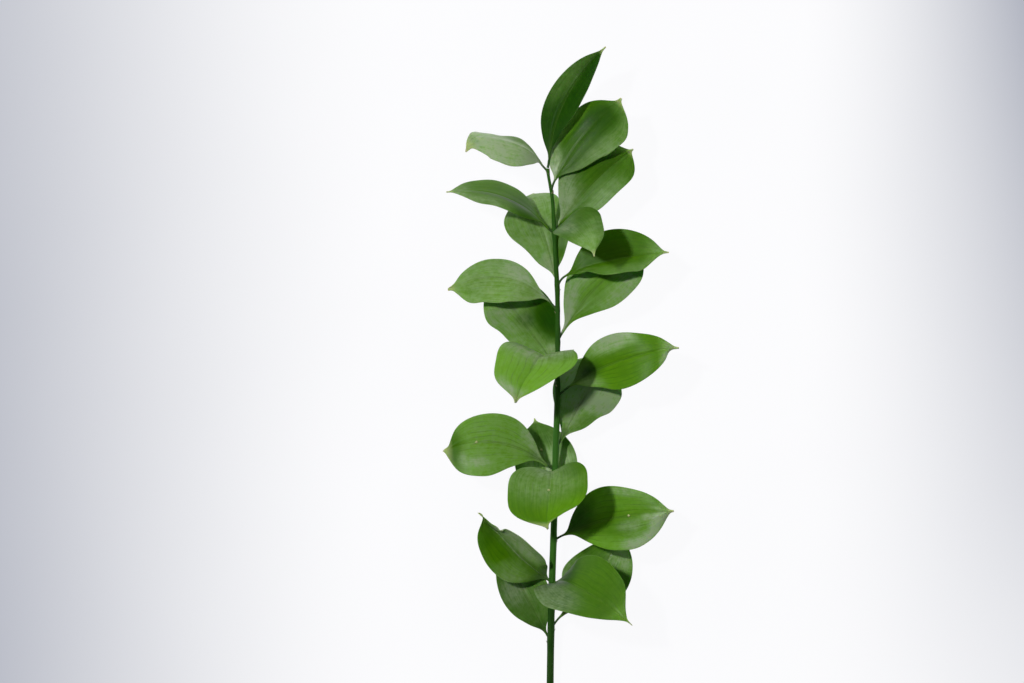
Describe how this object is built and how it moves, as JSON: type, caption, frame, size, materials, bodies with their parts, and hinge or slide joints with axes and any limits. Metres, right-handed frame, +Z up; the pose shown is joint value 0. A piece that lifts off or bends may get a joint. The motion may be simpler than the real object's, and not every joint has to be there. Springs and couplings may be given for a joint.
{
  "type": "ruscus stem",
  "caption": "Cut evergreen stem with leathery pointed oval leaves in loose spirals and papery scales at its nodes, lying on its lowest leaves and its slanted cut end.",
  "frame": {"origin": "middle of the footprint, on the surface the stem lies on", "axes": "+Y along the stem from the cut end to the top leaf, +Z up from the surface, +X to the right when looking down with the top leaf pointing away"},
  "size_m": [0.151, 0.5002, 0.0963],
  "materials": {
    "stem_green": "green, finely ridged, semi-matte, with papery tan scales at the nodes",
    "leaf_green": "leathery leaf with fine lengthwise veins, semi-gloss",
    "leaf_light_green": "leathery leaf with fine lengthwise veins, semi-gloss",
    "leaf_deep_green": "leathery leaf with fine lengthwise veins, semi-gloss"
  },
  "bodies": {
    "root": {"stem": "stem_green", "leaf_01": "leaf_green", "leaf_02": "leaf_light_green", "leaf_03": "leaf_deep_green", "leaf_04": "leaf_green", "leaf_05": "leaf_light_green", "leaf_06": "leaf_deep_green", "leaf_07": "leaf_green", "leaf_08": "leaf_light_green", "leaf_09": "leaf_deep_green", "leaf_10": "leaf_green", "leaf_11": "leaf_light_green", "leaf_12": "leaf_deep_green", "leaf_13": "leaf_green", "leaf_14": "leaf_light_green", "leaf_15": "leaf_deep_green", "leaf_16": "leaf_green", "leaf_17": "leaf_light_green", "leaf_18": "leaf_deep_green", "leaf_19": "leaf_green", "leaf_20": "leaf_light_green", "leaf_21": "leaf_deep_green", "leaf_22": "leaf_green"}
  },
  "joints": []
}
